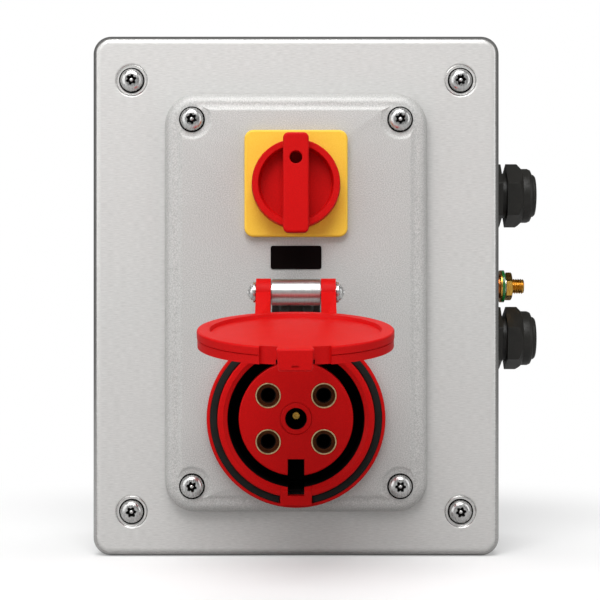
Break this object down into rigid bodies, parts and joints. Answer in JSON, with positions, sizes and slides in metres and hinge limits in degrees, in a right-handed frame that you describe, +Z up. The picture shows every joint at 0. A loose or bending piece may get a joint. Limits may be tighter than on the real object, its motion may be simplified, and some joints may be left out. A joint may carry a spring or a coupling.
{
  "type": "industrial wall socket",
  "caption": "Stainless wall box with a raised panel carrying a rotary isolator switch and a round red power socket with a hinged lid; cable glands and an earth stud on its side.",
  "frame": {"origin": "centre of the four wall-fixing holes, in the plane of the box's back face", "axes": "+Z up, +Y into the wall, the front with switch and socket faces -Y, glands on the +X side"},
  "size_m": [0.2802, 0.2894, 0.32],
  "materials": {
    "brushed_stainless": "horizontally brushed",
    "blasted_stainless": "fine bead-blasted",
    "polished_stainless": "polished",
    "zinc_steel": "zinc plated",
    "yellow_plastic": "satin moulded",
    "red_plastic": "satin moulded",
    "black_plastic": "satin moulded",
    "black_label": "smooth, bare",
    "black_rubber": "matt",
    "brass": "turned",
    "green_washer": "green coated"
  },
  "bodies": {
    "housing": {"back_box": "brushed_stainless", "front_cover": "brushed_stainless", "cover_gasket": "black_rubber", "cover_screws": "polished_stainless", "cover_nuts": "zinc_steel", "socket_plate": "blasted_stainless", "plate_gasket": "black_rubber", "plate_screws": "polished_stainless", "plate_spacers": "zinc_steel", "plate_nuts": "zinc_steel", "switch_faceplate": "yellow_plastic", "switch_body": "black_plastic", "switch_screws": "zinc_steel", "label_plate": "black_label", "socket_housing": "red_plastic", "key_boss": "red_plastic", "socket_cup": "black_plastic", "key_channel": "black_plastic", "pilot_liner": "red_plastic", "socket_seal": "black_rubber", "flange_gasket": "black_rubber", "socket_ring_nut": "black_plastic", "contact_base": "black_plastic", "contact_insert": "red_plastic", "contact_sleeves": "brass", "pilot_pin": "brass", "hinge_bracket": "black_plastic", "hinge_knuckle": "polished_stainless", "hinge_rivets": "black_plastic", "hinge_pin": "polished_stainless", "hinge_caps": "polished_stainless", "upper_gland_body": "black_plastic", "upper_gland_cap": "black_plastic", "upper_gland_seal": "black_rubber", "upper_gland_washer": "black_rubber", "upper_gland_locknut": "black_plastic", "lower_gland_body": "black_plastic", "lower_gland_cap": "black_plastic", "lower_gland_seal": "black_rubber", "lower_gland_washer": "black_rubber", "lower_gland_locknut": "black_plastic", "earth_stud": "brass", "earth_spacer": "brass", "earth_brass_washer": "brass", "earth_green_washer": "green_washer", "earth_spring_washer": "brass", "earth_nut": "brass", "earth_inner_nut": "brass"},
    "lid": {"socket_lid": "red_plastic"},
    "handle": {"switch_handle": "red_plastic", "switch_shaft": "zinc_steel"}
  },
  "joints": [
    {"name": "lid_hinge", "type": "hinge", "parent": "housing", "child": "lid", "pos_m": [0, -0.1566, 0.002], "axis": [1, 0, 0], "range_deg": [-25, 80]},
    {"name": "handle_turn", "type": "hinge", "parent": "housing", "child": "handle", "pos_m": [0, -0.15, 0.0672], "axis": [0, 1, 0], "range_deg": [0, 90]}
  ]
}
